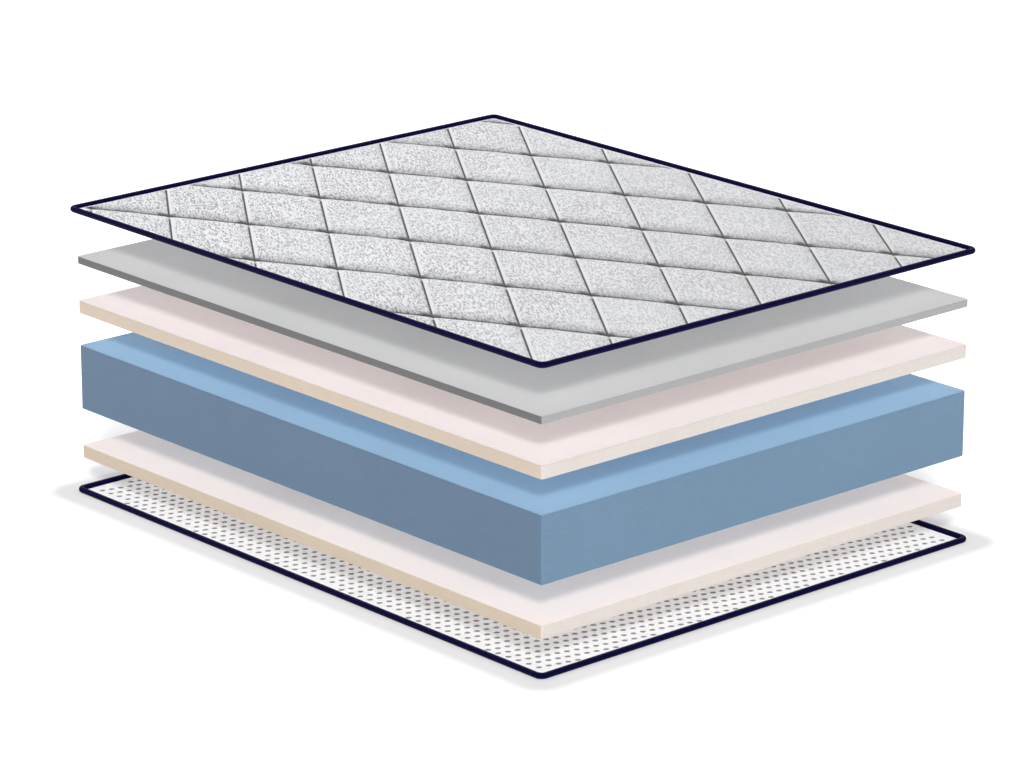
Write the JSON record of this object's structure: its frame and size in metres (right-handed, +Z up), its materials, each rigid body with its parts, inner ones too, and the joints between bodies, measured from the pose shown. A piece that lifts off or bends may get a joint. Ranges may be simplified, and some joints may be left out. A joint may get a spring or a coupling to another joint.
{
  "type": "memory foam mattress",
  "caption": "Double-bed memory foam mattress with its layers lifted apart: mesh base with navy piping, foam core, comfort foams and a quilted top cover. Each layer slides down to close it.",
  "frame": {"origin": "middle of the underside of the bottom cover, on the bed base", "axes": "+X along the bed's 2 m length, +Y across it, +Z up"},
  "size_m": [2.025, 1.625, 0.8612],
  "materials": {
    "ground_cloth": "matt grey ground cloth under the open mesh",
    "mesh_fabric": "matt white knitted mesh",
    "piping_cord": "white filler cord, hidden in its tape",
    "piping_tape": "matt navy woven tape",
    "piping_thread": "white sewing thread",
    "comfort_foam": "matt open-cell foam, cream with a pink cast",
    "core_foam": "matt open-cell foam, blue",
    "memory_foam": "matt open-cell memory foam, grey",
    "backing": "non-woven backing",
    "wadding": "loose fibre wadding",
    "knit_face": "jacquard knit, white and silver grey, soft sheen",
    "quilt_thread": "grey quilting thread"
  },
  "bodies": {
    "bottom_cover": {"bottom_ground_cloth": "ground_cloth", "bottom_mesh_fabric": "mesh_fabric", "bottom_piping_cord": "piping_cord", "bottom_piping_tape": "piping_tape", "bottom_piping_stitching": "piping_thread"},
    "lower_foam": {"lower_comfort_foam": "comfort_foam"},
    "core": {"core_foam": "core_foam"},
    "upper_foam": {"upper_comfort_foam": "comfort_foam"},
    "memory_foam": {"memory_foam_sheet": "memory_foam"},
    "top_cover": {"quilt_backing": "backing", "quilt_wadding": "wadding", "quilt_face": "knit_face", "quilt_stitching": "quilt_thread", "top_piping_cord": "piping_cord", "top_piping_tape": "piping_tape", "top_piping_stitching": "piping_thread"}
  },
  "joints": [
    {"name": "lower_foam_lift", "type": "slide", "parent": "bottom_cover", "child": "lower_foam", "axis": [0, 0, 1], "range_m": [-0.099, 0]},
    {"name": "core_lift", "type": "slide", "parent": "lower_foam", "child": "core", "axis": [0, 0, 1], "range_m": [-0.1085, 0]},
    {"name": "upper_foam_lift", "type": "slide", "parent": "core", "child": "upper_foam", "axis": [0, 0, 1], "range_m": [-0.0935, 0]},
    {"name": "memory_foam_lift", "type": "slide", "parent": "upper_foam", "child": "memory_foam", "axis": [0, 0, 1], "range_m": [-0.1075, 0]},
    {"name": "top_cover_lift", "type": "slide", "parent": "memory_foam", "child": "top_cover", "axis": [0, 0, 1], "range_m": [-0.1305, 0]}
  ]
}
